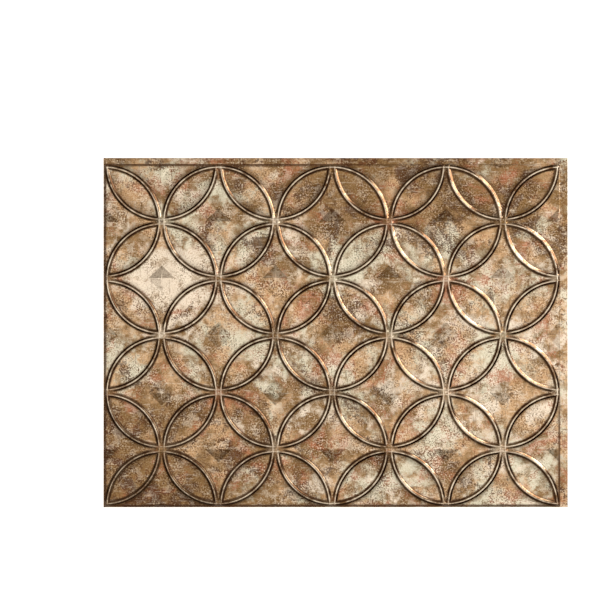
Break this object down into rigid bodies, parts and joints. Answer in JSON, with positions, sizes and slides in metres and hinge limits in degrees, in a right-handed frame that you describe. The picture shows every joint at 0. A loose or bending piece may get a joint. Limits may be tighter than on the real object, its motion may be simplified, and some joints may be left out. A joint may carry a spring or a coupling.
{
  "type": "vinyl backsplash panel",
  "caption": "Thin vacuum-formed vinyl wall panel with raised interlocking rings, diamond studs, a stepped rim and lap flanges on two edges, in a mottled aged-bronze finish.",
  "frame": {"origin": "centre of the panel's outline, on the plane that its flange and rim rest on", "axes": "+X along the long edge towards the side lap flange, +Y along the short edge towards the upper lap flange, +Z out of the decorated face"},
  "size_m": [0.616, 0.4634, 0.0046],
  "materials": {
    "aged_bronze_vinyl": "satin metallic-look film with a mottled bronze and cream patina, dark in the flanks of the ribs"
  },
  "bodies": {
    "root": {"backsplash_panel": "aged_bronze_vinyl"}
  },
  "joints": []
}
